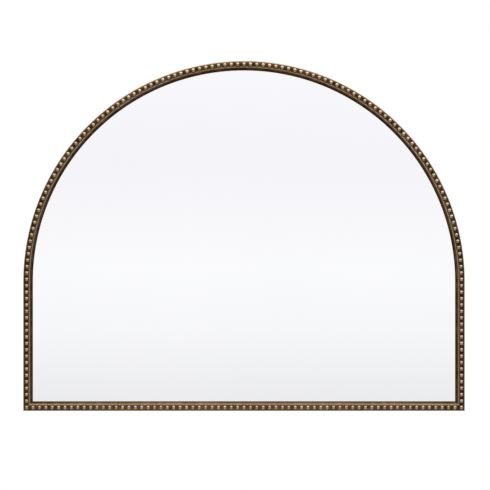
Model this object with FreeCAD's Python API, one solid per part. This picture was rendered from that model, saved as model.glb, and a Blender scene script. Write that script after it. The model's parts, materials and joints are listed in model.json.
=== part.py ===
import FreeCAD, Part

import math
import os

from FreeCAD import Placement, Rotation, Vector

# Arched wall mirror: a mantel-size looking glass in a rolled steel angle frame that
# carries one row of beads. A wooden board behind the glass carries the hanging hardware.
# Millimetres. Seen from the front, X runs to the right and Z up. The wall is the plane
# y = 0, and the mirror stands out from it towards -Y, so a depth is counted from the
# wall. The origin lies on the wall, midway between the two hooks, at the height where
# the hanger rings bear on them.

# Overall size
WIDTH = 965.0
HEIGHT = 765.0
HOOK_DROP = 190.0  # top of the frame down to the hooks
HANGER_SPACING = 560.0  # between the two hanger rings

# Layers, from the wall to the front
WALL_GAP = 2.0  # wall to the back edge of the frame
HARDWARE_RECESS = 6.0  # back edge of the frame to the back of the board
BOARD_THICKNESS = 9.0
TAPE_THICKNESS = 1.0
GLASS_THICKNESS = 4.0
BOARD_EDGE_CLEARANCE = 0.5
GLASS_EDGE_CLEARANCE = 1.5

# Rail section, from the outer edge inwards: margin, bead, gap, raised rim, sloping lip
RAIL_THICKNESS = 2.0
EDGE_BEVEL = 1.2  # between the rail's side and its face
OUTER_MARGIN = 3.0
RIM_GAP = 0.1
RIM_WIDTH = 2.6
RIM_HEIGHT = 2.2  # crown of the rim above the rail's face
RIM_BEVEL = 0.9
LIP_WIDTH = 5.6
LIP_FALL = 1.2  # how far the lip drops towards the glass

# Beads
BEAD_DIAMETER = 9.5
BEAD_GAP = 4.5  # bare face between two beads, before a run is evened out
BEAD_SIDES = 8
BEAD_SHOULDER_ANGLE = 42.0  # height of the ring of corners between base and crown

# Double-sided tape strips between board and glass
TAPE_WIDTH = 25.0
TAPE_STRIPS = 5
TAPE_MARGIN = 60.0  # outer edge of the frame to the ends of the strips

# Retaining tabs: tongues welded inside the frame and screwed down on the board
TAB_THICKNESS = 1.2
TAB_WIDTH = 15.0
TAB_REACH = 22.0  # outer edge of the frame to the tip of the tab
TAB_CROP = 4.0  # corners cut off at the tip
TAB_SCREW_INSET = 14.0  # outer edge of the frame to the screw
TAB_SETBACK = 1.5  # back edge of the frame to the edge of the welded leg
BOTTOM_TABS = 3
ARCH_TABS = 5
TAB_SCREW_SHANK = 3.0
TAB_SCREW_LENGTH = 8.0
TAB_SCREW_HEAD = 7.0
TAB_SCREW_HEAD_HEIGHT = 2.0

# Hangers: a folded strap with a stamped D ring turning in its loop
STRAP_SHEET = 1.0
STRAP_WIDTH = 18.0
LOOP_NECK = 7.5  # hinge axis to the point where the strap's two layers meet
STRAP_END = 9.0  # last screw to the end of the strap
STRAP_SCREW_PITCH = 12.0
RING_THICKNESS = 2.5
RING_BAR = 2.5  # width of the bar that turns in the loop
RING_WIDTH = 3.5  # width of the bow
RING_INNER_RADIUS = 12.5
RING_STRAIGHT = 4.5  # hinge axis to the centre of the bow
RING_CORNER_RADIUS = 2.0
RING_REST_GAP = 0.3  # bow to strap when the ring hangs down
HINGE_CLEARANCE = 0.06
HANGER_SCREW_SHANK = 3.5
HANGER_SCREW_LENGTH = 10.0
HANGER_SCREW_HEAD = 7.5
HANGER_SCREW_HEAD_HEIGHT = 2.5
HANGER_SCREW_ROOM = 3.0  # tip of the hanging ring to the first screw's head

# Screws in general, drawn eight-sided with the holes they go into
SCREW_SIDES = 8
SCREW_HOLE_CLEARANCE = 0.3
PILOT_CLEARANCE = 0.05
PILOT_EXTRA_DEPTH = 0.5

# Rubber bumpers that keep the mirror off the wall
BUMPER_FOOT_RADIUS = 7.0
BUMPER_TIP_RADIUS = 5.5
BUMPER_INSET = 40.0  # outer edge of the frame to the middle of a bumper
BUMPER_ARCH_ANGLE = 45.0

# Places that follow from the sizes above
HALF_WIDTH = WIDTH / 2
TOP_Z = HOOK_DROP
BOTTOM_Z = TOP_Z - HEIGHT
SPRING_Z = TOP_Z - HALF_WIDTH  # the straight jambs end and the half circle starts
BOARD_BACK = WALL_GAP + HARDWARE_RECESS
BOARD_FRONT = BOARD_BACK + BOARD_THICKNESS
GLASS_BACK = BOARD_FRONT + TAPE_THICKNESS
GLASS_FRONT = GLASS_BACK + GLASS_THICKNESS
RAIL_FRONT = GLASS_FRONT + RAIL_THICKNESS
BOARD_INSET = RAIL_THICKNESS + BOARD_EDGE_CLEARANCE
GLASS_INSET = RAIL_THICKNESS + GLASS_EDGE_CLEARANCE
BEAD_INSET = OUTER_MARGIN + BEAD_DIAMETER / 2
RIM_START = OUTER_MARGIN + BEAD_DIAMETER + RIM_GAP
RIM_END = RIM_START + RIM_WIDTH
SIGHT_INSET = RIM_END + LIP_WIDTH
LOOP_INNER_RADIUS = math.hypot(RING_BAR, RING_THICKNESS) / 2 + HINGE_CLEARANCE
LOOP_OUTER_RADIUS = LOOP_INNER_RADIUS + STRAP_SHEET
HINGE_HEIGHT = LOOP_OUTER_RADIUS  # hinge axis above the back of the board
HINGE_Z = -(RING_STRAIGHT + RING_INNER_RADIUS)
RING_REACH = RING_STRAIGHT + RING_INNER_RADIUS + RING_WIDTH
FIRST_STRAP_SCREW = RING_REACH + HANGER_SCREW_ROOM + HANGER_SCREW_HEAD / 2
STRAP_SCREWS = (FIRST_STRAP_SCREW, FIRST_STRAP_SCREW + STRAP_SCREW_PITCH)
STRAP_LENGTH = STRAP_SCREWS[-1] + STRAP_END

INTO_WALL = Vector(0, 1, 0)
OUT_OF_WALL = Vector(0, -1, 0)


def profile(start, steps, place):
    """Closed flat face. A step holds the end of a straight run, or the middle and end of an arc."""
    edges = []
    here = place(*start)
    for step in steps:
        there = place(*step[-1])
        if len(step) == 1:
            edges.append(Part.LineSegment(here, there).toShape())
        else:
            edges.append(Part.Arc(here, place(*step[0]), there).toShape())
        here = there
    edges.append(Part.LineSegment(here, place(*start)).toShape())
    return Part.Face(Part.Wire(edges))


def arch_slab(inset, back, front):
    """Plate with the mirror's outline, drawn in by the inset, between two depths."""
    side = HALF_WIDTH - inset
    foot = BOTTOM_Z + inset
    face = profile(
        (-side, foot),
        [((side, foot),), ((side, SPRING_Z),), ((0, SPRING_Z + side), (-side, SPRING_Z))],
        lambda x, z: Vector(x, -back, z),
    )
    return face.extrude(OUT_OF_WALL * (front - back))


def rail_section(place):
    """Rolled angle: a side leg, and a face leg with its raised rim and sloping lip."""
    rim_top = RAIL_FRONT + RIM_HEIGHT
    return profile(
        (0, WALL_GAP),
        [
            ((0, RAIL_FRONT - EDGE_BEVEL),),
            ((EDGE_BEVEL, RAIL_FRONT),),
            ((RIM_START, RAIL_FRONT),),
            ((RIM_START, rim_top - RIM_BEVEL),),
            ((RIM_START + RIM_BEVEL, rim_top),),
            ((RIM_END - RIM_BEVEL, rim_top),),
            ((RIM_END, rim_top - RIM_BEVEL),),
            ((RIM_END, RAIL_FRONT),),
            ((SIGHT_INSET, RAIL_FRONT - LIP_FALL),),
            ((SIGHT_INSET, GLASS_FRONT),),
            ((RAIL_THICKNESS, GLASS_FRONT),),
            ((RAIL_THICKNESS, WALL_GAP),),
        ],
        place,
    )


def mitre_block():
    """Room of the bottom rail between the two mitred corners, a little larger outwards."""
    spare = RAIL_THICKNESS
    inner_side = HALF_WIDTH - SIGHT_INSET
    face = profile(
        (-HALF_WIDTH - spare, BOTTOM_Z - spare),
        [
            ((HALF_WIDTH + spare, BOTTOM_Z - spare),),
            ((inner_side, BOTTOM_Z + SIGHT_INSET),),
            ((-inner_side, BOTTOM_Z + SIGHT_INSET),),
        ],
        lambda x, z: Vector(x, 0, z),
    )
    return face.extrude(OUT_OF_WALL * (RAIL_FRONT + RIM_HEIGHT + spare))


def frame_arch_rail():
    """Both jambs and the half circle, rolled from one bar and mitred at its two feet."""
    section = rail_section(lambda inset, depth: Vector(inset - HALF_WIDTH, -depth, SPRING_Z))
    left_jamb = section.extrude(Vector(0, 0, BOTTOM_Z - SPRING_Z))
    right_jamb = left_jamb.mirror(Vector(0, 0, 0), Vector(1, 0, 0))
    arch = section.revolve(Vector(0, 0, SPRING_Z), INTO_WALL, 180)
    return left_jamb.fuse([arch, right_jamb]).removeSplitter().cut(mitre_block())


def frame_bottom_rail():
    """Straight rail with a mitre at each end."""
    section = rail_section(lambda inset, depth: Vector(-HALF_WIDTH, -depth, BOTTOM_Z + inset))
    return section.extrude(Vector(WIDTH, 0, 0)).common(mitre_block())


def bead():
    """Half ball with its flat base at the origin and its crown out of the wall, in flat facets."""
    radius = BEAD_DIAMETER / 2

    def corners(latitude):
        turns = [2 * math.pi * (k + 0.5) / BEAD_SIDES for k in range(BEAD_SIDES)]
        reach = radius * math.cos(latitude)
        rise = radius * math.sin(latitude)
        return [Vector(reach * math.cos(t), -rise, reach * math.sin(t)) for t in turns]

    base = corners(0)
    shoulder = corners(math.radians(BEAD_SHOULDER_ANGLE))
    crown = Vector(0, -radius, 0)
    facets = [base]
    for k in range(BEAD_SIDES):
        after = (k + 1) % BEAD_SIDES
        facets.append([base[k], base[after], shoulder[after], shoulder[k]])
        facets.append([shoulder[k], shoulder[after], crown])
    shell = Part.Shell([Part.Face(Part.makePolygon(f + f[:1])) for f in facets])
    solid = Part.Solid(shell)
    if solid.Volume < 0:
        solid.reverse()
    return solid


def bead_row(places):
    """Beads soldered on the rail's face. A place is x, z and the turn of the bead in degrees."""
    one = bead()
    beads = []
    for x, z, turn in places:
        placement = Placement(Vector(x, -RAIL_FRONT, z), Rotation(INTO_WALL, turn))
        beads.append(one.transformed(placement.toMatrix(), copy=True))
    return Part.makeCompound(beads)


def bead_places():
    """Evenly spaced bead places for each stretch of the frame, with a bead in each lower corner."""
    side = HALF_WIDTH - BEAD_INSET
    foot = BOTTOM_Z + BEAD_INSET
    jamb = SPRING_Z - foot
    over = 2 * jamb + math.pi * side
    pitch = BEAD_DIAMETER + BEAD_GAP
    bottom_steps = round(2 * side / pitch)
    over_steps = round(over / pitch)
    left, arch, right = [], [], []
    for k in range(1, over_steps):
        along = over * k / over_steps
        turned = (along - jamb) / side
        if turned < 0:
            left.append((-side, foot + along, 0))
        elif turned <= math.pi:
            arch_x = -side * math.cos(turned)
            arch_z = SPRING_Z + side * math.sin(turned)
            arch.append((arch_x, arch_z, math.degrees(turned)))
        else:
            right.append((side, foot + over - along, 0))
    bottom = [(side * (2 * k / bottom_steps - 1), foot, 0) for k in range(1, bottom_steps)]
    print(f"bead pitch: bottom {2 * side / bottom_steps:.3f}, over the arch {over / over_steps:.3f}")
    return {
        "left_jamb_beads": left,
        "arch_beads": arch,
        "right_jamb_beads": right,
        "bottom_beads": bottom,
        "corner_beads": [(-side, foot, 0), (side, foot, 0)],
    }


def tab_places():
    """Point on the frame's outline and the inward direction there, for each retaining tab."""
    places = []
    for k in range(BOTTOM_TABS):
        share = (k + 1) / (BOTTOM_TABS + 1)
        places.append((WIDTH * share - HALF_WIDTH, BOTTOM_Z, 0, 1))
    middle = (SPRING_Z + BOTTOM_Z) / 2
    places.append((-HALF_WIDTH, middle, 1, 0))
    places.append((HALF_WIDTH, middle, -1, 0))
    for k in range(ARCH_TABS):
        turn = math.pi * (k + 1) / (ARCH_TABS + 1)
        across, up = math.cos(turn), math.sin(turn)
        places.append((HALF_WIDTH * across, SPRING_Z + HALF_WIDTH * up, -across, -up))
    return places


def tab_screw_spots():
    """Where the screw of each tab goes in."""
    return [
        (x + TAB_SCREW_INSET * inward_x, z + TAB_SCREW_INSET * inward_z)
        for x, z, inward_x, inward_z in tab_places()
    ]


def eight_sided(x, depth, z, radius, length, direction):
    """Upright eight-sided pin or hole that starts at the given depth."""
    turns = [2 * math.pi * (k + 0.5) / SCREW_SIDES for k in range(SCREW_SIDES)]
    rim = [Vector(x + radius * math.cos(t), -depth, z + radius * math.sin(t)) for t in turns]
    return Part.Face(Part.makePolygon(rim + rim[:1])).extrude(direction * length)


def tab_blank():
    """One tab on an outline point at the origin, with the frame's inside towards +X."""
    start = RAIL_THICKNESS / 2  # inside the rail's side leg, where it is trimmed to fit
    leg_back = WALL_GAP + TAB_SETBACK
    half = TAB_WIDTH / 2
    welded = Part.makeBox(
        RAIL_THICKNESS + TAB_THICKNESS - start,
        BOARD_BACK - leg_back,
        TAB_WIDTH,
        Vector(start, -BOARD_BACK, -half),
    )
    tongue = profile(
        (start, -half),
        [
            ((TAB_REACH - TAB_CROP, -half),),
            ((TAB_REACH, TAB_CROP - half),),
            ((TAB_REACH, half - TAB_CROP),),
            ((TAB_REACH - TAB_CROP, half),),
            ((start, half),),
        ],
        lambda inset, aside: Vector(inset, -BOARD_BACK, aside),
    ).extrude(INTO_WALL * TAB_THICKNESS)
    hole_radius = TAB_SCREW_SHANK / 2 + SCREW_HOLE_CLEARANCE
    hole = eight_sided(TAB_SCREW_INSET, BOARD_BACK, 0, hole_radius, TAB_THICKNESS, INTO_WALL)
    return welded.fuse(tongue).removeSplitter().cut(hole)


def retaining_tabs():
    """Tabs around the frame, each trimmed to seat on the inside of the side leg."""
    room = arch_slab(RAIL_THICKNESS, WALL_GAP, BOARD_BACK)
    blank = tab_blank()
    tabs = []
    for x, z, inward_x, inward_z in tab_places():
        turn = math.degrees(math.atan2(-inward_z, inward_x))
        placement = Placement(Vector(x, 0, z), Rotation(INTO_WALL, turn))
        tabs += blank.transformed(placement.toMatrix(), copy=True).common(room).Solids
    return Part.makeCompound(tabs)


def screw(x, depth, z, head, head_height, shank, length):
    """Screw with its head seated at the given depth and its shank running out of the wall."""
    body = eight_sided(x, depth, z, shank / 2, length, OUT_OF_WALL)
    return body.fuse(eight_sided(x, depth, z, head / 2, head_height, INTO_WALL))


def tab_screws():
    """One wood screw through each tab."""
    seat = BOARD_BACK - TAB_THICKNESS
    return Part.makeCompound(
        [
            screw(
                x, seat, z, TAB_SCREW_HEAD, TAB_SCREW_HEAD_HEIGHT, TAB_SCREW_SHANK, TAB_SCREW_LENGTH
            )
            for x, z in tab_screw_spots()
        ]
    )


def hanger_screw_spots():
    """Two screws, one below the other, in each hanger strap."""
    return [
        (side * HANGER_SPACING / 2, HINGE_Z - drop) for side in (-1, 1) for drop in STRAP_SCREWS
    ]


def hanger_screws():
    """Wood screws that hold the two hanger straps on the board."""
    seat = BOARD_BACK - 2 * STRAP_SHEET
    return Part.makeCompound(
        [
            screw(
                x,
                seat,
                z,
                HANGER_SCREW_HEAD,
                HANGER_SCREW_HEAD_HEIGHT,
                HANGER_SCREW_SHANK,
                HANGER_SCREW_LENGTH,
            )
            for x, z in hanger_screw_spots()
        ]
    )


def pilot_hole(x, z, shank, length):
    """Blind hole in the back of the board for one screw."""
    radius = shank / 2 + PILOT_CLEARANCE
    return eight_sided(x, BOARD_BACK, z, radius, length + PILOT_EXTRA_DEPTH, OUT_OF_WALL)


def backing_board():
    """Fibreboard panel behind the glass, bored for the screws."""
    tab_depth = TAB_SCREW_LENGTH - TAB_THICKNESS
    hanger_depth = HANGER_SCREW_LENGTH - 2 * STRAP_SHEET
    holes = [pilot_hole(x, z, TAB_SCREW_SHANK, tab_depth) for x, z in tab_screw_spots()]
    holes += [pilot_hole(x, z, HANGER_SCREW_SHANK, hanger_depth) for x, z in hanger_screw_spots()]
    return arch_slab(BOARD_INSET, BOARD_BACK, BOARD_FRONT).cut(holes)


def mounting_tape():
    """Upright strips of double-sided foam tape that bond the glass to the board."""
    strips = []
    side = HALF_WIDTH - TAPE_MARGIN
    step = (2 * side - TAPE_WIDTH) / (TAPE_STRIPS - 1)
    foot = BOTTOM_Z + TAPE_MARGIN
    for k in range(TAPE_STRIPS):
        left = k * step - side
        outer_x = max(abs(left), abs(left + TAPE_WIDTH))
        top = SPRING_Z + math.sqrt(side**2 - outer_x**2)
        corner = Vector(left, -GLASS_BACK, foot)
        strips.append(Part.makeBox(TAPE_WIDTH, TAPE_THICKNESS, top - foot, corner))
    return Part.makeCompound(strips)


def hanger_strap(x):
    """Steel strip folded round the ring's bar, its two layers pressed flat and screwed down."""
    slope = 2 * math.atan(LOOP_INNER_RADIUS / LOOP_NECK)
    thickness = 2 * STRAP_SHEET

    def place(drop, height):
        return Vector(x - STRAP_WIDTH / 2, height - BOARD_BACK, HINGE_Z - drop)

    def leaves_loop(radius):
        return radius * math.sin(slope), HINGE_HEIGHT + radius * math.cos(slope)

    outer_drop, outer_height = leaves_loop(LOOP_OUTER_RADIUS)
    pressed_from = outer_drop + (outer_height - thickness) / math.tan(slope)
    outside = profile(
        (STRAP_LENGTH, 0),
        [
            ((0, 0),),
            ((-LOOP_OUTER_RADIUS, HINGE_HEIGHT), (outer_drop, outer_height)),
            ((pressed_from, thickness),),
            ((STRAP_LENGTH, thickness),),
        ],
        place,
    )
    inside = profile(
        (0, STRAP_SHEET),
        [
            ((-LOOP_INNER_RADIUS, HINGE_HEIGHT), leaves_loop(LOOP_INNER_RADIUS)),
            ((LOOP_NECK, STRAP_SHEET),),
        ],
        place,
    )
    across = Vector(STRAP_WIDTH, 0, 0)
    strap = outside.extrude(across).cut(inside.extrude(across))
    half = STRAP_WIDTH / 2
    rounded = profile(
        (-half, -2 * LOOP_OUTER_RADIUS),
        [
            ((half, -2 * LOOP_OUTER_RADIUS),),
            ((half, STRAP_LENGTH - half),),
            ((0, STRAP_LENGTH), (-half, STRAP_LENGTH - half)),
        ],
        lambda aside, drop: Vector(x + aside, -BOARD_BACK, HINGE_Z - drop),
    )
    strap = strap.common(rounded.extrude(INTO_WALL * (2 * LOOP_OUTER_RADIUS)))
    hole_radius = HANGER_SCREW_SHANK / 2 + SCREW_HOLE_CLEARANCE
    holes = [
        eight_sided(x, BOARD_BACK, HINGE_Z - drop, hole_radius, thickness, INTO_WALL)
        for drop in STRAP_SCREWS
    ]
    return strap.cut(holes)


def ring_rest_tilt():
    """Angle by which the hanging ring stands out from the wall to lie on its strap, in degrees."""
    crossing = RING_STRAIGHT + math.sqrt(RING_INNER_RADIUS**2 - (STRAP_WIDTH / 2) ** 2)
    lift = 2 * STRAP_SHEET + RING_REST_GAP + RING_THICKNESS / 2 - HINGE_HEIGHT
    return math.degrees(math.asin(lift / crossing))


def hanger_ring(x):
    """D ring stamped from flat steel, hanging down from the bar in its strap's loop."""

    def place(aside, drop):
        depth = BOARD_BACK - HINGE_HEIGHT + RING_THICKNESS / 2
        return Vector(x + aside, -depth, HINGE_Z - drop)

    def d_shape(side, edge, corner):
        bend = corner * (1 - math.sqrt(0.5))
        return profile(
            (-side, edge + corner),
            [
                ((bend - side, edge + bend), (corner - side, edge)),
                ((side - corner, edge),),
                ((side - bend, edge + bend), (side, edge + corner)),
                ((side, RING_STRAIGHT),),
                ((0, RING_STRAIGHT + side), (-side, RING_STRAIGHT)),
            ],
            place,
        )

    through = INTO_WALL * RING_THICKNESS
    outside = d_shape(RING_INNER_RADIUS + RING_WIDTH, -RING_BAR / 2, RING_CORNER_RADIUS)
    inside = d_shape(RING_INNER_RADIUS, RING_BAR / 2, RING_CORNER_RADIUS / 2)
    ring = outside.extrude(through).cut(inside.extrude(through))
    hinge = Vector(x, HINGE_HEIGHT - BOARD_BACK, HINGE_Z)
    ring.rotate(hinge, Vector(1, 0, 0), ring_rest_tilt())
    return ring


def wall_bumpers():
    """Rubber feet on the back of the board, two at the lower corners and two on the arch."""
    side = HALF_WIDTH - BUMPER_INSET
    turn = math.radians(BUMPER_ARCH_ANGLE)
    spots = []
    for sign in (-1, 1):
        spots.append((sign * side, BOTTOM_Z + BUMPER_INSET))
        spots.append((sign * side * math.cos(turn), SPRING_Z + side * math.sin(turn)))
    return Part.makeCompound(
        [
            Part.makeCone(
                BUMPER_FOOT_RADIUS,
                BUMPER_TIP_RADIUS,
                BOARD_BACK,
                Vector(x, -BOARD_BACK, z),
                INTO_WALL,
            )
            for x, z in spots
        ]
    )


nodes = {
    "frame_arch_rail": frame_arch_rail(),
    "frame_bottom_rail": frame_bottom_rail(),
    "mirror_glass": arch_slab(GLASS_INSET, GLASS_BACK, GLASS_FRONT),
    "mounting_tape": mounting_tape(),
    "backing_board": backing_board(),
    "retaining_tabs": retaining_tabs(),
    "tab_screws": tab_screws(),
    "left_hanger_strap": hanger_strap(-HANGER_SPACING / 2),
    "right_hanger_strap": hanger_strap(HANGER_SPACING / 2),
    "left_hanger_ring": hanger_ring(-HANGER_SPACING / 2),
    "right_hanger_ring": hanger_ring(HANGER_SPACING / 2),
    "hanger_screws": hanger_screws(),
    "wall_bumpers": wall_bumpers(),
}
for name, places in bead_places().items():
    nodes[name] = bead_row(places)

os.makedirs("parts", exist_ok=True)
for name, shape in nodes.items():
    shape.exportStep(os.path.join("parts", name + ".step"))
    print(f"{name}: {len(shape.Solids)} solids, {shape.Volume / 1000:.1f} cm3, valid {shape.isValid()}")
print(f"hinge axis at y {HINGE_HEIGHT - BOARD_BACK:.4f}, z {HINGE_Z:.4f}, rest tilt {ring_rest_tilt():.4f}")
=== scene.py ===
import json
import math
import random
from functools import partial

import bmesh
import bpy
from mathutils import Matrix, Vector


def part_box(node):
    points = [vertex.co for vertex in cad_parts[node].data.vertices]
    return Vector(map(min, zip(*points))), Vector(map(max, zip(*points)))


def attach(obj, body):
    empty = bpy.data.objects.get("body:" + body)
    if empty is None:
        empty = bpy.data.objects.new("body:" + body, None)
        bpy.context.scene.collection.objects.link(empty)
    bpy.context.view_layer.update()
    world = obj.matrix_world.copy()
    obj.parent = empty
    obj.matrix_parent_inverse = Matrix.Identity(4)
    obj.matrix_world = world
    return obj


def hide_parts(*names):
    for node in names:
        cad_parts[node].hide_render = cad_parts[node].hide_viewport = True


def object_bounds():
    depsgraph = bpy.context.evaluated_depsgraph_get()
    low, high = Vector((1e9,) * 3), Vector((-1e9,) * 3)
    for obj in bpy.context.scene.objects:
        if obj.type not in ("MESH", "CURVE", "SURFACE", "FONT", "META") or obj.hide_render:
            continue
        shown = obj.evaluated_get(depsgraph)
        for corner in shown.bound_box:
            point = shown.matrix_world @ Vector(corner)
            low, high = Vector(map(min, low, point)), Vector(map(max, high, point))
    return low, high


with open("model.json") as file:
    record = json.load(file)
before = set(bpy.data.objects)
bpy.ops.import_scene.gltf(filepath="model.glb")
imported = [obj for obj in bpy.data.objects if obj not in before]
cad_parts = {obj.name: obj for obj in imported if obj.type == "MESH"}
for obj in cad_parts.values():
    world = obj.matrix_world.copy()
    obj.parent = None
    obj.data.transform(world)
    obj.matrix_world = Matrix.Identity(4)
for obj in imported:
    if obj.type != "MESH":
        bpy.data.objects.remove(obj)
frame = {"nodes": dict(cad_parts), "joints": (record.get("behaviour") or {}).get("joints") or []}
cad_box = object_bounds()

# The two frame rails: a steel strip rolled to an angle and bent round the arch, and a straight
# bottom rail mitred to its feet. The face carries a raised rim and slopes in to the glass.
# They are lacquered in antique bronze, dark in the hollows and rubbed lighter along the rim. The
# lip by the glass is darker, partly as painted shade, and light from above is painted on as a
# lighter upper edge at the crown and a lighter lip along the bottom, with painted shade on the
# crown's rim and lip.
rail_low, rail_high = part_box("frame_arch_rail")
half_width = rail_high.x
foot = rail_low.z
jamb_height = 0.2825  # from the foot up to where the half circle starts
spring = foot + jamb_height
rail_back = -rail_high.y  # these four are distances from the wall
rim_crown = -rail_low.y
rail_face = 0.0240
glass_face = -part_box("mirror_glass")[0].y
side_thickness = 0.0020
edge_rounding = 0.0020
rim_start = 0.0126  # these six are distances in from the outer edge
rim_end = 0.0152
sight_edge = 0.0208
edge_wear_end = 0.0024
margin_end = 0.0050
face_wear_start = 0.0104  # from here the face is rubbed more and more towards the rim
rim_rounding = 0.0012
lip_fall = 0.0012
fold_rounding = 0.0003
mitre_hairline = 0.0001
arch_steps = 200
bottom_steps = 32
back_wear = 0.20
# wear of the outer edge, margin, face, face at the rim, rim, lip and sight edge, from 0 to 1, with
# painted light and shade in some of them
# low wear leaves the lip and sight edge dark: dark lacquer, and in part painted shade beside the
# glass
jamb_wear = (0.44, 0.04, 0.14, 0.72, 1.0, 0.30, 0.0)
crown_wear_and_painted_light = (0.66, 0.60, 0.18, 0.44, 0.60, 0.21, 0.0)  # painted highlight on the upper outer edge and margin, painted shade on the rim and lip below, as if lit from above
bottom_wear_and_painted_light = (0.44, 0.26, 0.36, 0.46, 0.72, 0.72, 0.04)  # a lighter margin and face, and a lip lighter still: painted highlight where it faces light from above
lacquer_browns = [(0.38, (0.049, 0.017, 0.003)), (0.62, (0.037, 0.020, 0.003))]
lacquer_rougher = 0.12  # what whole lacquer adds to the roughness of rubbed metal
rail_bronze = (0.221, 0.131, 0.061)
rail_rubbed = (0.402, 0.310, 0.209)
rail_roughness = 0.34


def rounded_outline(corners, steps=5):
    """Points of an outline with its corners rounded. A corner is across, out, radius and a mark
    that its points carry on."""
    points = []
    for number, (across, out, radius, mark) in enumerate(corners):
        here = Vector((across, out))
        if radius == 0:
            points.append((across, out, mark))
            continue
        to_last = (Vector(corners[number - 1][:2]) - here).normalized()
        to_next = (Vector(corners[(number + 1) % len(corners)][:2]) - here).normalized()
        half_angle = to_last.angle(to_next) / 2
        centre = here + (to_last + to_next).normalized() * radius / math.sin(half_angle)
        first = here + to_last * radius / math.tan(half_angle) - centre
        turn = math.pi - 2 * half_angle
        if to_last.cross(to_next) > 0:
            turn = -turn
        for step in range(steps + 1):
            spoke = Matrix.Rotation(turn * step / steps, 2) @ first
            points.append((*(centre + spoke), mark))
    return points


def loft(rings, endless=False):
    """Skin over a row of like rings, closed at both ends unless the row runs round on itself."""
    count = len(rings[0])
    points = [point for ring in rings for point in ring]
    faces = []
    for row in range(len(rings) if endless else len(rings) - 1):
        here = row * count
        there = (row + 1) % len(rings) * count
        for k in range(count):
            after = (k + 1) % count
            faces.append((here + k, here + after, there + after, there + k))
    if not endless:
        faces.append(tuple(range(count)))
        faces.append(tuple(range(len(points) - count, len(points))))
    return points, faces


def make_piece(name, skins, finish, marks=None, crease=32):
    """One object from closed skins, smooth except at folds sharper than the crease angle."""
    points = []
    faces = []
    for skin_points, skin_faces in skins:
        start = len(points)
        points += skin_points
        faces += [tuple(start + corner for corner in face) for face in skin_faces]
    mesh = bpy.data.meshes.new(name)
    mesh.from_pydata(points, [], faces)
    sorter = bmesh.new()
    sorter.from_mesh(mesh)
    bmesh.ops.recalc_face_normals(sorter, faces=sorter.faces)
    sorter.to_mesh(mesh)
    sorter.free()
    mesh.shade_smooth()
    mesh.set_sharp_from_angle(angle=math.radians(crease))
    for mark, values in (marks or {}).items():
        mesh.attributes.new(mark, "FLOAT", "POINT").data.foreach_set("value", values)
    mesh.materials.append(finish)
    piece = bpy.data.objects.new(name, mesh)
    bpy.context.scene.collection.objects.link(piece)
    return piece


def stand_in(piece, node, body="mirror"):
    """The piece takes the place of a plain solid and moves with its body."""
    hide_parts(node)
    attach(piece, body)


def add_node(tree, kind, inputs, **settings):
    """Shader node whose inputs are numbers, colours or the outputs of other nodes."""
    made = tree.nodes.new("ShaderNode" + kind)
    for setting, value in settings.items():
        setattr(made, setting, value)
    for socket, value in inputs.items():
        if isinstance(value, bpy.types.NodeSocket):
            tree.links.new(value, made.inputs[socket])
        else:
            made.inputs[socket].default_value = value
    return made


def colour_ramp(tree, factor, stops):
    """Colours blended along a factor. A stop is a place from 0 to 1 and a colour."""
    ramp = add_node(tree, "ValToRGB", {"Fac": factor})
    while len(ramp.color_ramp.elements) < len(stops):
        ramp.color_ramp.elements.new(0.5)
    for element, (place, colour) in zip(ramp.color_ramp.elements, stops):
        element.position = place
        element.color = (*colour, 1)
    return ramp.outputs["Color"]


def mix(tree, share, under, over, way="MIX"):
    """Colour between two others by a share, or their product where the way is MULTIPLY."""
    inputs = {"Fac": share, "Color1": under, "Color2": over}
    return add_node(tree, "MixRGB", inputs, blend_type=way).outputs["Color"]


def noise(tree, scale, detail, roughness=0.5):
    """Cloudy pattern in the object's own metres."""
    place = add_node(tree, "TexCoord", {}).outputs["Object"]
    inputs = {"Vector": place, "Scale": scale, "Detail": detail, "Roughness": roughness}
    return add_node(tree, "TexNoise", inputs).outputs["Fac"]


def blend_range(tree, factor, low, high, start=0.3, end=0.7):
    """Number that runs from low to high as a factor runs from start to end."""
    inputs = {"Value": factor, "From Min": start, "From Max": end, "To Min": low, "To Max": high}
    return add_node(tree, "MapRange", inputs).outputs["Result"]


def new_finish(name, metallic):
    """Empty finish, its node tree and its main shader."""
    finish = bpy.data.materials.new(name)
    finish.use_nodes = True
    shader = finish.node_tree.nodes["Principled BSDF"]
    shader.inputs["Metallic"].default_value = metallic
    return finish, finish.node_tree, shader


def add_grain(tree, shader, pattern, strength, height):
    """Fine relief on a surface, its height in metres."""
    inputs = {"Height": pattern, "Strength": strength, "Distance": height}
    grain = add_node(tree, "Bump", inputs).outputs["Normal"]
    tree.links.new(grain, shader.inputs["Normal"])


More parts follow.
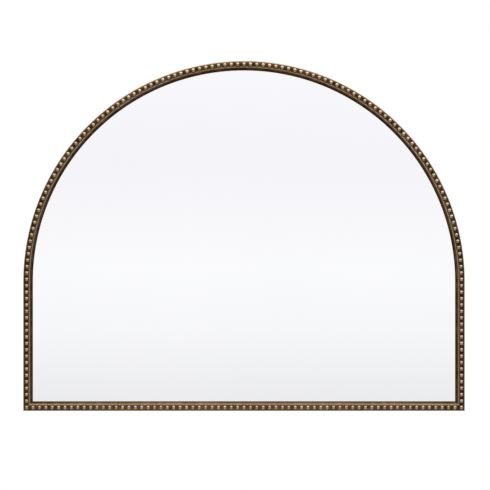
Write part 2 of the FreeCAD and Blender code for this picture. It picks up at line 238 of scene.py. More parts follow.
def antique_bronze(name, bronze, rubbed, roughness, hues=None):
    """Dark lacquer over bronze, worn through where the piece's rubbed mark is high; on the rails
    that mark also carries painted light and shade. Hues tint it along the piece's tint mark."""
    finish, tree, shader = new_finish(name, metallic=0.96)
    wear = add_node(tree, "Attribute", {}, attribute_name="rubbed").outputs["Fac"]
    clouds = blend_range(tree, noise(tree, scale=70, detail=4), low=-0.10, high=0.10)
    specks = blend_range(tree, noise(tree, scale=900, detail=3), low=-0.05, high=0.05)
    uneven = add_node(tree, "Math", {0: clouds, 1: specks}, operation="ADD").outputs["Value"]
    worn = add_node(tree, "Math", {0: wear, 1: uneven}, operation="ADD").outputs["Value"]
    metal = colour_ramp(tree, worn, [(0.5, bronze), (0.95, rubbed)])
    lacquer = colour_ramp(tree, noise(tree, scale=55, detail=3), lacquer_browns)
    cover = blend_range(tree, worn, low=1, high=0, start=0.08, end=0.5)
    colour = mix(tree, cover, metal, lacquer)
    if hues:
        tint = add_node(tree, "Attribute", {}, attribute_name="tint").outputs["Fac"]
        colour = mix(tree, 1, colour, colour_ramp(tree, tint, hues), way="MULTIPLY")
    dull = blend_range(tree, worn, low=roughness + lacquer_rougher, high=roughness, start=0, end=1)
    tree.links.new(colour, shader.inputs["Base Color"])
    tree.links.new(dull, shader.inputs["Roughness"])
    add_grain(tree, shader, noise(tree, scale=1500, detail=2), strength=0.12, height=0.0002)
    return finish


def arch_place(travel, inset, out):
    """Point on an arch that lies inside the frame's outline: travel runs from 0 at the left foot
    to 1 and 2 at the ends of the half circle and 3 at the right foot."""
    radius = half_width - inset
    if 1 <= travel <= 2:
        turn = math.pi * (2 - travel)
        return Vector((radius * math.cos(turn), -out, spring + radius * math.sin(turn)))
    side = -1 if travel < 1 else 1
    climb = min(travel, 3 - travel)
    level = foot + inset
    return Vector((side * radius, -out, level + (spring - level) * climb))


jamb_travel = [0, 1 / 3, 2 / 3]
arch_travel = [1 + step / arch_steps for step in range(arch_steps + 1)]
travels = jamb_travel + arch_travel + [3 - travel for travel in reversed(jamb_travel)]


def rail_section(wear):
    """Outline across a rail: distance in, distance from the wall and wear of the finish."""
    edge, margin, face, face_at_rim, rim, lip, sight = wear
    return rounded_outline(
        [
            (0, rail_back, fold_rounding, back_wear),
            (0, rail_face, edge_rounding, edge),
            (edge_wear_end, rail_face, 0, margin),
            (margin_end, rail_face, 0, face),
            (face_wear_start, rail_face, 0, face),
            (rim_start, rail_face, 0, face_at_rim),
            (rim_start, rim_crown, rim_rounding, rim),
            (rim_end, rim_crown, rim_rounding, rim),
            (rim_end, rail_face, fold_rounding, lip),
            (sight_edge, rail_face - lip_fall, fold_rounding, sight),
            (sight_edge, glass_face, 0, sight),
            (side_thickness, glass_face, fold_rounding, back_wear),
            (side_thickness, rail_back, fold_rounding, back_wear),
        ]
    )


def wear_and_light_between(plain, with_painted_light, share):
    """Wear marks of one ring of a rail, part of the way from a plain section to one that also
    carries painted light and shade.
    """
    return [a + (b - a) * share for (_, _, a), (_, _, b) in zip(plain, with_painted_light)]


frame_bronze = antique_bronze("antique_bronze_frame", rail_bronze, rail_rubbed, rail_roughness)
jamb_section = rail_section(jamb_wear)
crown_painted_light_section = rail_section(crown_wear_and_painted_light)
arch_rings = []
arch_wear_and_light = []
for travel in travels:
    climb = math.sin(math.pi * (2 - travel)) if 1 <= travel <= 2 else 0  # 1 at the crown
    arch_rings.append([arch_place(travel, inset, out) for inset, out, _ in jamb_section])
    # towards the crown the marks take on its painted highlight and painted shade
    arch_wear_and_light += wear_and_light_between(jamb_section, crown_painted_light_section, climb**2)
arch_rail = make_piece("arch_rail", [loft(arch_rings)], frame_bronze, {"rubbed": arch_wear_and_light})
stand_in(arch_rail, "frame_arch_rail")

bottom_painted_light_section = rail_section(bottom_wear_and_painted_light)
bottom_rings = []
bottom_wear_and_light = []
for step in range(bottom_steps + 1):
    share = 2 * step / bottom_steps - 1
    bottom_wear_and_light += wear_and_light_between(jamb_section, bottom_painted_light_section, 1 - share**4)  # the painted highlight and the lighter face fade out towards the corners
    bottom_rings.append(
        [
            Vector(((half_width - inset - mitre_hairline) * share, -out, foot + inset))
            for inset, out, _ in bottom_painted_light_section
        ]
    )
bottom_rail = make_piece(
    "bottom_rail", [loft(bottom_rings)], frame_bronze, {"rubbed": bottom_wear_and_light}
)
stand_in(bottom_rail, "frame_bottom_rail")

# The beads: half balls pressed from brass and fixed in one row along the rails' faces. They have
# the same antique bronze, rubbed through to a paler gold on the crowns and left dark round
# the feet, and no two come out of the finishing quite alike.
bead_radius = 0.00475
bead_inset = 0.00775  # outer edge of the frame to the middle of the row
bottom_gaps = 68
over_gaps = 146  # from one corner bead up the jamb, over the arch and down to the other
bead_sides = 24
bead_rows = 9
bead_sunk = 0.0002  # how far a foot goes into the face
bead_top = 0.9985  # share of the radius at which a small flat closes the crown
bead_sizes = (0.985, 1.0)  # the least and the most of what varies from bead to bead
bead_rubs = (0.86, 1.06)
foot_wear = 0.26
crown_adds = 0.66  # what the crown has on top of the foot's wear
bead_bronze = (0.296, 0.190, 0.108)
bead_gold = (0.492, 0.406, 0.306)
bead_roughness = 0.27
bead_hues = [(0, (1.0, 0.93, 0.86)), (0.5, (0.97, 0.96, 0.94)), (1, (0.96, 0.97, 0.88))]
bead_finishing = random.Random(11)


def round_ring(x, z, radius, out, sides):
    """Points round a place of the frame, all at one distance from the wall."""
    turns = [2 * math.pi * k / sides for k in range(sides)]
    return [Vector((x + radius * math.cos(t), -out, z + radius * math.sin(t))) for t in turns]


def bead_skin(x, z, radius):
    """One half ball that stands on the face at a place of the row, and its rings' heights."""
    leans = [0.5 * math.pi * k / bead_rows for k in range(bead_rows)]
    heights = [-bead_sunk] + [radius * math.sin(lean) for lean in leans] + [radius * bead_top]
    rings = []
    for height in heights:
        girth = math.sqrt(radius**2 - max(height, 0) ** 2)
        rings.append(round_ring(x, z, girth, rail_face + height, bead_sides))
    return loft(rings), heights


def bead_row(node, places):
    """A run of beads as one piece, each with its own wear and tint."""
    skins = []
    wear = []
    tint = []
    for x, z in places:
        radius = bead_radius * bead_finishing.uniform(*bead_sizes)
        rub = bead_finishing.uniform(*bead_rubs)
        shade = bead_finishing.random()
        skin, heights = bead_skin(x, z, radius)
        skins.append(skin)
        for height in heights:
            share = max(height, 0) / radius
            wear += [rub * (foot_wear + crown_adds * math.sqrt(share))] * bead_sides
            tint += [shade] * bead_sides
    piece = make_piece(node + "_row", skins, bead_finish, {"rubbed": wear, "tint": tint})
    stand_in(piece, node)


bead_finish = antique_bronze(
    "antique_bronze_beads", bead_bronze, bead_gold, bead_roughness, bead_hues
)
row_side = half_width - bead_inset
row_foot = foot + bead_inset
jamb_run = spring - row_foot
over_run = 2 * jamb_run + math.pi * row_side
rows = {"left_jamb_beads": [], "arch_beads": [], "right_jamb_beads": []}
for number in range(1, over_gaps):
    along = over_run * number / over_gaps
    if along < jamb_run:
        rows["left_jamb_beads"].append((-row_side, row_foot + along))
    elif along > over_run - jamb_run:
        rows["right_jamb_beads"].append((row_side, row_foot + over_run - along))
    else:
        turn = math.pi - (along - jamb_run) / row_side
        rows["arch_beads"].append((row_side * math.cos(turn), spring + row_side * math.sin(turn)))
rows["bottom_beads"] = [
    (row_side * (2 * number / bottom_gaps - 1), row_foot) for number in range(1, bottom_gaps)
]
rows["corner_beads"] = [(-row_side, row_foot), (row_side, row_foot)]
for row_node, row_places in rows.items():
    bead_row(row_node, row_places)

# The looking glass: one sheet of 4 mm float glass cut to the arch, its edges ground to a narrow
# arris. The silver on its back makes the picture, and a coat of grey paint seals the silver.
# The rails' lip holds it in front and foam tape bonds it to the board.
glass_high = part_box("mirror_glass")[1]
glass_back = -glass_high.y
glass_inset = half_width - glass_high.x
arris = 0.0004
square_on = 0.99  # a face whose normal has more than this along the depth is front or back
silver_shades = [(0.35, (0.962, 0.965, 0.966)), (0.65, (0.970, 0.972, 0.974))]
seal_greys = [(0.35, (0.23, 0.24, 0.245)), (0.65, (0.28, 0.29, 0.295))]
edge_greens = [(0.35, (0.10, 0.17, 0.15)), (0.65, (0.13, 0.21, 0.185))]


def silvered_glass():
    """Polished silver behind clear glass, with the faint unevenness of a float sheet."""
    finish, tree, shader = new_finish("silvered_glass", metallic=1)
    sheen = colour_ramp(tree, noise(tree, scale=3, detail=2), silver_shades)
    polish = blend_range(tree, noise(tree, scale=6, detail=3), low=0.004, high=0.014)
    tree.links.new(sheen, shader.inputs["Base Color"])
    tree.links.new(polish, shader.inputs["Roughness"])
    return finish


def sealed_glass(name, shades, smooth, rough):
    """Side of the sheet that makes no picture, ground or painted."""
    finish, tree, shader = new_finish(name, metallic=0)
    colour = colour_ramp(tree, noise(tree, scale=40, detail=4), shades)
    dull = blend_range(tree, noise(tree, scale=160, detail=3), low=smooth, high=rough)
    tree.links.new(colour, shader.inputs["Base Color"])
    tree.links.new(dull, shader.inputs["Roughness"])
    add_grain(tree, shader, noise(tree, scale=700, detail=3), strength=0.2, height=0.0001)
    return finish


glass_rings = []
for inset, out in (
    (glass_inset + arris, glass_back),
    (glass_inset, glass_back + arris),
    (glass_inset, glass_face - arris),
    (glass_inset + arris, glass_face),
):
    glass_rings.append([arch_place(travel, inset, out) for travel in travels])
looking_glass = make_piece("looking_glass", [loft(glass_rings)], silvered_glass(), crease=20)
ground_edge = sealed_glass("ground_edge", edge_greens, smooth=0.35, rough=0.5)
silver_seal = sealed_glass("silver_seal", seal_greys, smooth=0.5, rough=0.65)
looking_glass.data.materials.append(ground_edge)
looking_glass.data.materials.append(silver_seal)
for face in looking_glass.data.polygons:
    if face.normal.y > square_on:
        face.material_index = looking_glass.data.materials.find(silver_seal.name)
    elif face.normal.y > -square_on:
        face.material_index = looking_glass.data.materials.find(ground_edge.name)
stand_in(looking_glass, "mirror_glass")

# The mounting tape: five strips of white closed-cell foam, sticky on both faces. They run
# upright between the board and the glass, and take up what little the board bows.
foam_whites = [(0.3, (0.74, 0.74, 0.71)), (0.7, (0.86, 0.86, 0.83))]


def mottle(tree, shader, pattern, shades, smooth, rough):
    """Colour and roughness that both follow one pattern over a surface."""
    tree.links.new(colour_ramp(tree, pattern, shades), shader.inputs["Base Color"])
    tree.links.new(blend_range(tree, pattern, smooth, rough), shader.inputs["Roughness"])


def dress_node(node, finish):
    """A plain solid whose shape is right keeps its place and gets a finish."""
    solid = frame["nodes"][node]
    solid.data.materials.clear()
    solid.data.materials.append(finish)


foam, foam_tree, foam_shader = new_finish("closed_cell_foam", metallic=0)
foam_cells = noise(foam_tree, scale=1800, detail=2)
mottle(foam_tree, foam_shader, foam_cells, foam_whites, smooth=0.75, rough=0.95)
add_grain(foam_tree, foam_shader, foam_cells, strength=0.5, height=0.0003)
dress_node("mounting_tape", foam)

# The backing board: 9 mm fibreboard cut to the arch, a little smaller than the frame, and rolled
# with matt black paint, so that its back shows the roller's stipple and some dusty scuffs.
# It lies in the frame behind the glass and carries the hangers and bumpers.
board_back = -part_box("backing_board")[1].y
paint_blacks = [
    (0.30, (0.015, 0.0145, 0.014)),
    (0.58, (0.027, 0.026, 0.025)),
    (0.80, (0.060, 0.057, 0.053)),
]
paint, paint_tree, paint_shader = new_finish("rolled_black_paint", metallic=0)
paint_scuffs = noise(paint_tree, scale=9, detail=6, roughness=0.62)
paint_stipple = noise(paint_tree, scale=420, detail=4)
mottle(paint_tree, paint_shader, paint_scuffs, paint_blacks, smooth=0.62, rough=0.82)
add_grain(paint_tree, paint_shader, paint_stipple, strength=0.55, height=0.0012)
dress_node("backing_board", paint)

# The retaining tabs: tongues of bent steel strip, each with one leg welded inside the frame and
# its tongue screwed down on the board. They are lacquered along with the rails, so they
# have the frame's bronze, and a short lumpy weld runs up each side of the leg.
tab_thickness = 0.0012
tab_half = 0.0075
tab_reach = 0.0220  # outer edge of the frame to the tip
tab_crop = 0.0040
tab_bend = 0.0013
tab_leg_start = 0.0035  # distance from the wall
tab_screw_inset = 0.0140
bottom_tabs = 3
arch_tabs = 5
tab_wear = 0.30
edge_break = 0.00015  # the sharp edge that tumbling takes off cut sheet
weld_radius = 0.0010
weld_sizes = (0.85, 1.1)  # the least and the most of what varies from lump to lump
weld_lumps = 4
lump_sides = 12
lump_levels = 7
lump_flat = 0.04  # share of a half turn that is left flat at either end of a lump
lump_depth = 0.9  # its reach along the way out from the wall, as a share of its radius


def strip_skin(path, half_widths, thickness, place):
    """Sheet metal strip along a bent path. The path is across and up, and place sets a point
    of the strip, with how far aside it lies, in the object's frame."""
    rings = []
    for number, (across, up) in enumerate(path):
        last = Vector(path[max(number - 1, 0)])
        following = Vector(path[min(number + 1, len(path) - 1)])
        ahead = (following - last).normalized()
        normal = Vector((-ahead.y, ahead.x))
        half = half_widths[number]
        thin = thickness / 2
        ring = []
        for aside, rise in (
            (half - edge_break, thin),
            (half, thin - edge_break),
            (half, edge_break - thin),
            (half - edge_break, -thin),
            (edge_break - half, -thin),
            (-half, edge_break - thin),
            (-half, thin - edge_break),
            (edge_break - half, thin),
        ):
            ring.append(place(across + normal.x * rise, up + normal.y * rise, aside))
        rings.append(ring)
    return loft(rings)


def lump_skin(centre, radius):
    """Small rounded lump of weld."""
    rings = []
    for level in range(lump_levels + 1):
        tilt = math.pi * (lump_flat + (1 - 2 * lump_flat) * level / lump_levels)
        girth = radius * math.sin(tilt)
        rise = radius * lump_depth * math.cos(tilt)
        rings.append(round_ring(centre.x, centre.z, girth, -centre.y - rise, lump_sides))
    return loft(rings)


def on_tab(edge, inward, inset, out, aside):
    """Point of a tab from its distance in, from the wall and to the side."""
    along = Vector((-inward.z, 0, inward.x))
    return edge + inward * inset + along * aside - Vector((0, out, 0))


tab_places = []
for number in range(bottom_tabs):
    share = (number + 1) / (bottom_tabs + 1)
    tab_places.append((Vector((half_width * (2 * share - 1), 0, foot)), Vector((0, 0, 1))))
for side in (-1, 1):
    tab_places.append((Vector((side * half_width, 0, (foot + spring) / 2)), Vector((-side, 0, 0))))
for number in range(arch_tabs):
    turn = math.pi * (number + 1) / (arch_tabs + 1)
    spoke = Vector((math.cos(turn), 0, math.sin(turn)))
    tab_places.append((Vector((0, 0, spring)) + spoke * half_width, -spoke))

leg_middle = side_thickness + tab_thickness / 2
tongue_middle = board_back - tab_thickness / 2
tab_path = [
    point[:2]
    for point in rounded_outline(
        [
            (leg_middle, tab_leg_start, 0, 0),
            (leg_middle, tongue_middle, tab_bend, 0),
            (tab_reach - tab_crop, tongue_middle, 0, 0),
            (tab_reach, tongue_middle, 0, 0),
        ]
    )
]
tab_halves = [tab_half - max(0, inset - tab_reach + tab_crop) for inset, _ in tab_path]
weld_maker = random.Random(5)
tab_skins = []
for edge, inward in tab_places:
    place = partial(on_tab, edge, inward)
    tab_skins.append(strip_skin(tab_path, tab_halves, tab_thickness, place))
    for aside in (-tab_half, tab_half):
        for lump in range(weld_lumps):
            share = (lump + 0.5) / weld_lumps
            out = tab_leg_start + (board_back - weld_radius - tab_leg_start) * share
            radius = weld_radius * weld_maker.uniform(*weld_sizes)
            tab_skins.append(lump_skin(place(side_thickness, out, aside), radius))
tab_points = sum(len(points) for points, _ in tab_skins)
tabs = make_piece("welded_tabs", tab_skins, frame_bronze, {"rubbed": [tab_wear] * tab_points})
stand_in(tabs, "retaining_tabs")

# The tab screws: wood screws of zinc plated steel with pan heads and a cross recess. One goes
# through each tab's tongue into the board, driven home with its cross at any turn.
tab_screw = {"head": 0.007, "head_height": 0.002, "shank": 0.003, "length": 0.008}
tip_share = 0.1  # radius of a screw's tip as a share of its shank's width
head_underside = 0.94  # these six are shares of the head's radius or height
head_flank = 0.45
head_top = 0.58
recess_reach = 0.52
recess_half = 0.13
recess_depth = 0.62
recess_taper = 0.55  # floor of the recess as a share of its mouth
recess_corner = math.atan(recess_half / recess_reach)  # half the angle that an arm's end takes up
rounding_slack = 1e-6
head_rows = 5
zinc_shades = [(0.28, (0.50, 0.51, 0.53)), (0.55, (0.62, 0.63, 0.65)), (0.80, (0.68, 0.67, 0.63))]


def zinc_plate(name, scale):
    """Bright zinc with the faint clouding and fine scratches of barrel plating."""
    finish, tree, shader = new_finish(name, metallic=1)
    clouds = noise(tree, scale, detail=5, roughness=0.6)
    mottle(tree, shader, clouds, zinc_shades, smooth=0.26, rough=0.46)
    add_grain(tree, shader, noise(tree, scale=9 * scale, detail=3), strength=0.15, height=0.0001)
    return finish


def cross_reach(turn):
    """Middle of a cross recess to its outline, as a share of the head's radius."""
    lean = abs((turn + math.pi / 4) % (math.pi / 2) - math.pi / 4)
    if lean <= recess_corner + rounding_slack:
        return recess_reach / math.cos(lean)
    return recess_half / math.sin(lean)


def screw_turns():
    """Directions round a screw that meet every corner of its cross recess."""
    between = (recess_corner + math.pi / 4) / 2
    leans = [0, recess_corner, between]
    leans += [math.pi / 4, math.pi / 2 - between, math.pi / 2 - recess_corner]
    return [quarter * math.pi / 2 + lean for quarter in range(4) for lean in leans]


def screw_skin(x, z, seat, twist, head, head_height, shank, length):
    """One screw whose head sits at a distance from the wall and points at it."""
    head_radius = head / 2
    radii = [(shank * tip_share, -length), (shank / 2, shank - length), (shank / 2, 0)]
    radii.append((head_radius * head_underside, 0))
    radii.append((head_radius, head_height * (1 - head_underside)))
    for row in range(head_rows + 1):
        lean = math.pi / 2 * row / head_rows
        girth = head_top + (1 - head_top) * math.cos(lean)
        rise = head_flank + (1 - head_flank) * math.sin(lean)
        radii.append((head_radius * girth, head_height * rise))
    turns = screw_turns()
    outlines = [([radius] * len(turns), height) for radius, height in radii]
    recess = [head_radius * cross_reach(turn) for turn in turns]
    outlines.append((recess, head_height))
    outlines.append(([reach * recess_taper for reach in recess], head_height * (1 - recess_depth)))
    rings = []
    for outline, height in outlines:
        ring = []
        for reach, turn in zip(outline, turns):
            spun = turn + twist
            ring.append(
                Vector((x + reach * math.cos(spun), height - seat, z + reach * math.sin(spun)))
            )
        rings.append(ring)
    return loft(rings)


screw_driver = random.Random(3)
bright_zinc = zinc_plate("bright_zinc", scale=260)
tab_screw_seat = board_back - tab_thickness
tab_screw_skins = []
for edge, inward in tab_places:
    spot = edge + inward * tab_screw_inset
    twist = screw_driver.uniform(0, math.pi)
    tab_screw_skins.append(screw_skin(spot.x, spot.z, tab_screw_seat, twist, **tab_screw))
tab_screws = make_piece("tab_pan_screws", tab_screw_skins, bright_zinc)
stand_in(tab_screws, "tab_screws")

# The hanger straps: strips of zinc plated steel folded round the bar of a ring and pressed flat,
# so that two layers lie under the screw heads and the free end is rounded.
strap_sheet = 0.0010
strap_layer = 0.00098  # a hair under the sheet, so that the seam between the layers shows
strap_half = 0.0090
strap_length = 0.04825  # hinge axis down to the rounded end
strap_tip = 0.00045  # half the width that is left at the very end
under_layer = strap_sheet / 2  # heights of the layers' middles on the board
upper_layer = 1.5 * strap_sheet
ring_bar = 0.0025  # width of the bar that turns in the loop
ring_thickness = 0.0025
hinge_clearance = 0.00006
loop_inner = math.hypot(ring_bar, ring_thickness) / 2 + hinge_clearance
loop_neck = 0.0075  # hinge axis down to where the two layers meet
loop_middle = loop_inner + strap_sheet / 2
loop_steps = 22
end_steps = 9
strap_slope = 2 * math.atan(loop_inner / loop_neck)


def strap_end(drop):
    """Half the strap's width at a distance below the hinge axis."""
    past = drop - (strap_length - strap_half)
    if past <= 0:
        return strap_half
    return max(math.sqrt(max(strap_half**2 - past**2, 0)), strap_tip)


def strap_path(axis_height):
    """Middle of the strip from its lower end, up and round the bar, and down again."""
    rounds = [math.pi / 2 * step / end_steps for step in range(end_steps + 1)]
    ends = [strap_length - strap_half * (1 - math.sin(lean)) for lean in rounds]
    path = [(drop, under_layer) for drop in reversed(ends)]
    for step in range(loop_steps + 1):
        lean = (math.pi + strap_slope) * step / loop_steps
        path.append((-loop_middle * math.sin(lean), axis_height - loop_middle * math.cos(lean)))
    leaves_drop, leaves_height = path[-1]
    fall = leaves_height - upper_layer
    path.append((leaves_drop + fall / math.tan(strap_slope), upper_layer))
    path += [(drop, upper_layer) for drop in ends]
    return path


def on_strap(hinge, drop, height, aside):
    """Point of a strap from its drop below the hinge, height on the board and way to the side."""
    return Vector((hinge.x + aside, height - board_back, hinge.z - drop))


strap_zinc = zinc_plate("pressed_zinc", scale=120)
hinges = {joint["child"]: joint for joint in frame["joints"]}
for ring_body in ("left_ring", "right_ring"):
    hinge = Vector(hinges[ring_body]["pos_m"])
    folded = strap_path(board_back + hinge.y)
    halves = [strap_end(drop) for drop, _ in folded]
    strip = strip_skin(folded, halves, strap_layer, partial(on_strap, hinge))
    strap_node = ring_body.replace("ring", "hanger_strap")
    strap = make_piece(strap_node + "_strip", [strip], strap_zinc)
    stand_in(strap, strap_node)

# The hanger screws: pan heads like those of the tabs, a size larger and of the same zinc plated
# steel. Two go through both layers of each strap into the board.
hanger_screw = {"head": 0.0075, "head_height": 0.0025, "shank": 0.0035, "length": 0.010}
hanger_screw_drops = (0.02725, 0.03925)  # below the hinge axis
hanger_screw_seat = board_back - 2 * strap_sheet
hanger_screw_skins = []
for ring_body in ("left_ring", "right_ring"):
    hinge = Vector(hinges[ring_body]["pos_m"])
    for drop in hanger_screw_drops:
        twist = screw_driver.uniform(0, math.pi)
        hanger_screw_skins.append(
            screw_skin(hinge.x, hinge.z - drop, hanger_screw_seat, twist, **hanger_screw)
        )
hanger_screws = make_piece("hanger_pan_screws", hanger_screw_skins, bright_zinc)
stand_in(hanger_screws, "hanger_screws")

# The hanger rings: D rings stamped from flat steel, their edges tumbled round and zinc plated.
# The straight bar turns in the strap's loop, and the bow lies down on the strap or swings up
# to go over a hook in the wall.
ring_bow = 0.0035
ring_inner = 0.0125
ring_straight = 0.0045  # hinge axis to the centre of the bow
ring_corner = 0.0020
ring_hole_corner = 0.0010
ring_rounding = 0.0005
bow_steps = 40
corner_steps = 6


def d_outline(side, edge, corner):
    """D shape: across from the middle and down from the hinge axis."""
    outline = []
    for sign, first in ((-1, math.pi), (1, 1.5 * math.pi)):
        for step in range(corner_steps + 1):
            turn = first + math.pi / 2 * step / corner_steps
            across = sign * (side - corner) + corner * math.cos(turn)
            outline.append(Vector((across, edge + corner + corner * math.sin(turn))))
    for step in range(bow_steps + 1):
        turn = math.pi * step / bow_steps
        outline.append(Vector((side * math.cos(turn), ring_straight + side * math.sin(turn))))
    return outline


ring_zinc = zinc_plate("tumbled_zinc", scale=190)
ring_outer = d_outline(ring_inner + ring_bow, -ring_bar / 2, ring_corner)
ring_hole = d_outline(ring_inner, ring_bar / 2, ring_hole_corner)
for ring_body in ("left_ring", "right_ring"):
    hinge = Vector(hinges[ring_body]["pos_m"])
    rest_tilt = math.radians(180 - hinges[ring_body]["range_deg"][1])
    hang = Matrix.Translation(hinge) @ Matrix.Rotation(rest_tilt, 4, "X")
    ring_sections = []
    for outer, inner in zip(ring_outer, ring_hole):
        middle = (outer + inner) / 2
        across = (outer - inner).normalized()
        half_bar = (outer - inner).length / 2
        half_thick = ring_thickness / 2
        corners = [
            (half_bar, half_thick, ring_rounding, 0),
            (-half_bar, half_thick, ring_rounding, 0),
            (-half_bar, -half_thick, ring_rounding, 0),
            (half_bar, -half_thick, ring_rounding, 0),
        ]
        section = []
        for reach, rise, _ in rounded_outline(corners, steps=3):
            spot = middle + across * reach
            section.append(hang @ Vector((spot.x, rise, -spot.y)))
        ring_sections.append(section)
    ring_node = ring_body.replace("ring", "hanger_ring")
    ring = make_piece(ring_node + "_stamping", [loft(ring_sections, endless=True)], ring_zinc)
    stand_in(ring, ring_node, ring_body)

# The wall bumpers: round feet of black rubber, moulded with a small flange and a domed tip, and
# stuck on the back of the board. They touch the wall and keep the frame off it.
bumper_inset = 0.040  # outer edge of the frame to the middle of a bumper
bumper_sides = 40
bumper_shape = [
    # radius and distance from the wall, from the foot to the tip
    (0.00690, board_back),
    (0.00700, 0.00785),
    (0.00700, 0.00715),
    (0.00685, 0.00690),
    (0.00640, 0.00675),
    (0.00622, 0.00640),
    (0.00560, 0.00120),
    (0.00540, 0.00065),
    (0.00500, 0.00025),
    (0.00430, 0.00006),
    (0.00340, 0.0),
]
rubber_blacks = [(0.3, (0.017, 0.017, 0.018)), (0.7, (0.030, 0.030, 0.031))]
rubber, rubber_tree, rubber_shader = new_finish("moulded_rubber", metallic=0)
rubber_bloom = noise(rubber_tree, scale=140, detail=5)
rubber_skin = noise(rubber_tree, scale=2400, detail=2)
mottle(rubber_tree, rubber_shader, rubber_bloom, rubber_blacks, smooth=0.55, rough=0.8)
add_grain(rubber_tree, rubber_shader, rubber_skin, strength=0.25, height=0.0001)
bumper_side = half_width - bumper_inset
diagonal = math.sqrt(0.5) * bumper_side
bumper_skins = []
for sign in (-1, 1):
    for x, z in ((sign * bumper_side, foot + bumper_inset), (sign * diagonal, spring + diagonal)):
        rings = [round_ring(x, z, radius, out, bumper_sides) for radius, out in bumper_shape]
        bumper_skins.append(loft(rings))
bumpers = make_piece("rubber_bumpers", bumper_skins, rubber)
stand_in(bumpers, "wall_bumpers")

# The studio floor: a pale painted disc well below the mirror, which hangs free as it would on
# a wall. It thins out to nothing at its rim, so that no edge shows against the backdrop.
floor_drop = 0.90  # bottom of the frame down to the floor
floor_radius = 3.0
floor_fade = 1.6  # from this distance out it thins
floor_sides = 96
floor_roughness = 0.7
floor_pales = [(0.3, (0.82, 0.82, 0.82)), (0.7, (0.85, 0.85, 0.85))]
floor_paint, floor_tree, floor_shader = new_finish("studio_floor", metallic=0)
floor_shader.inputs["Roughness"].default_value = floor_roughness
floor_colour = colour_ramp(floor_tree, noise(floor_tree, scale=5, detail=3), floor_pales)
floor_tree.links.new(floor_colour, floor_shader.inputs["Base Color"])
floor_place = add_node(floor_tree, "TexCoord", {}).outputs["Object"]
floor_length = add_node(floor_tree, "VectorMath", {0: floor_place}, operation="LENGTH")
floor_reach = floor_length.outputs["Value"]
floor_thin = blend_range(
    floor_tree, floor_reach, low=1, high=0, start=floor_fade, end=floor_radius
)
floor_tree.links.new(floor_thin, floor_shader.inputs["Alpha"])
floor_rim = [2 * math.pi * k / floor_sides for k in range(floor_sides)]
floor_mesh = bpy.data.meshes.new("studio_floor")
floor_mesh.from_pydata(
    [(floor_radius * math.cos(t), floor_radius * math.sin(t), 0) for t in floor_rim],
    [],
    [tuple(range(floor_sides))],
)
floor_mesh.materials.append(floor_paint)
floor = bpy.data.objects.new("studio_floor", floor_mesh)
floor.location.z = foot - floor_drop
bpy.context.scene.collection.objects.link(floor)

# The studio lamps: cloth softboxes. A wide one hangs overhead, a little behind the mirror, with
# one high on the right and one behind, all far enough out that the glass doesn't show them to
# the camera.
softboxes = [
    # name, place, width, height, watts
    ("overhead_softbox", (0.0, 0.60, 3.90), 5.0, 3.6, 100),
    ("right_softbox", (2.60, -0.80, 1.70), 2.4, 2.4, 20),
    ("rear_softbox", (0.0, 2.60, 1.20), 3.2, 2.4, 26),
]
mirror_middle = Vector((0, 0, (cad_box[0].z + cad_box[1].z) / 2))
for name, place, width, height, watts in softboxes:
    lamp = bpy.data.lights.new(name, "AREA")
    lamp.shape = "RECTANGLE"
    lamp.size = width
    lamp.size_y = height
    lamp.energy = watts
    softbox = bpy.data.objects.new(name, lamp)
    softbox.location = place
    softbox.rotation_mode = "QUATERNION"
    softbox.rotation_quaternion = (mirror_middle - softbox.location).to_track_quat("-Z", "Y")
    softbox.visible_camera = False
    bpy.context.scene.collection.objects.link(softbox)

# The backdrop: white behind the mirror. In front of it stands a pale screen, a little darker at
# its foot, which fills the glass as the camera sees it. The ceiling is bright and the rest dim.
screen_shades = [
    (0.02, (0.862, 0.862, 0.878)),
    (0.22, (0.960, 0.960, 0.977)),
    (0.40, (0.988, 0.988, 1.000)),
    (0.72, (0.943, 0.936, 0.977)),
    (1.00, (0.972, 0.972, 1.000)),
]
room_front = (0.52, 0.52, 0.53)
room_sides = (0.13, 0.13, 0.13)
ceiling_light = (1.6, 1.6, 1.6)
screen_foot = -0.115  # these are heights of a direction that has the length 1
screen_head = 0.128
ceiling_edge = 0.25
ceiling_full = 0.60
screen_core = 0.98  # these are how nearly a direction faces the screen or the backdrop
screen_rim = 0.95
front_core = 0.72
front_rim = 0.20
backdrop_rim = 0.78
backdrop_core = 0.95
fill_light = 0.30  # how much of the room's light reaches what isn't shiny
white = (1.0, 1.0, 1.0)
studio = bpy.data.worlds.new("studio")
bpy.context.scene.world = studio
studio.use_nodes = True
air = studio.node_tree
air.nodes.clear()
direction = add_node(air, "TexCoord", {}).outputs["Generated"]
parts = add_node(air, "SeparateXYZ", {"Vector": direction}).outputs
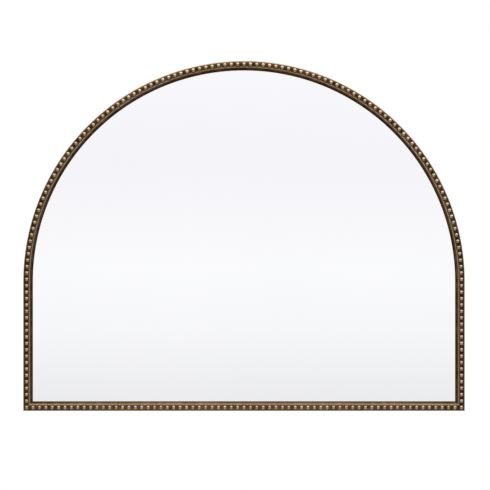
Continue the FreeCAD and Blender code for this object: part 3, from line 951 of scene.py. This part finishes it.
level = blend_range(air, parts["Z"], low=0, high=1, start=screen_foot, end=screen_head)
screen = colour_ramp(air, level, screen_shades)
faces_screen = blend_range(air, parts["Y"], low=1, high=0, start=-screen_core, end=-screen_rim)
faces_back = blend_range(air, parts["Y"], low=0, high=1, start=backdrop_rim, end=backdrop_core)
rises = blend_range(air, parts["Z"], low=0, high=1, start=ceiling_edge, end=ceiling_full)
faces_front = blend_range(air, parts["Y"], low=1, high=0, start=-front_core, end=-front_rim)
walls = colour_ramp(air, faces_front, [(0, room_sides), (1, room_front)])
room = mix(air, rises, walls, (*ceiling_light, 1))
front = mix(air, faces_screen, room, screen)
surround = mix(air, faces_back, front, (*white, 1))
path = add_node(air, "LightPath", {}).outputs
mirror_rays = {0: path["Is Glossy Ray"], 1: path["Is Transmission Ray"]}
mirrored = add_node(air, "Math", mirror_rays, operation="MAXIMUM").outputs["Value"]
strength = blend_range(air, mirrored, low=fill_light, high=1, start=0, end=1)
seen_in_metal = add_node(air, "Background", {"Color": surround, "Strength": strength})
seen_directly = add_node(air, "Background", {"Color": (*white, 1), "Strength": 1})
skies = {
    "Fac": path["Is Camera Ray"],
    1: seen_in_metal.outputs["Background"],
    2: seen_directly.outputs["Background"],
}
sky = add_node(air, "MixShader", skies).outputs["Shader"]
add_node(air, "OutputWorld", {"Surface": sky})

# The camera: straight in front of the mirror and level, a little below its middle, with a long
# lens that keeps the sides of the frame upright.
camera_distance = 3.0  # in front of the frame's outer edge
camera_x = 0.0022
camera_z = -0.2124
outer_edge_depth = 0.0228  # from the wall
view_width = 1.0712  # what the picture takes in at the frame's outer edge
lens = bpy.data.cameras.new("camera")
lens.sensor_width = 36
lens.lens = lens.sensor_width * camera_distance / view_width
camera = bpy.data.objects.new("camera", lens)
camera.location = (camera_x, -camera_distance - outer_edge_depth, camera_z)
camera.rotation_euler = (math.pi / 2, 0, 0)
bpy.context.scene.collection.objects.link(camera)
bpy.context.scene.camera = camera
bpy.context.scene.view_settings.view_transform = "Standard"
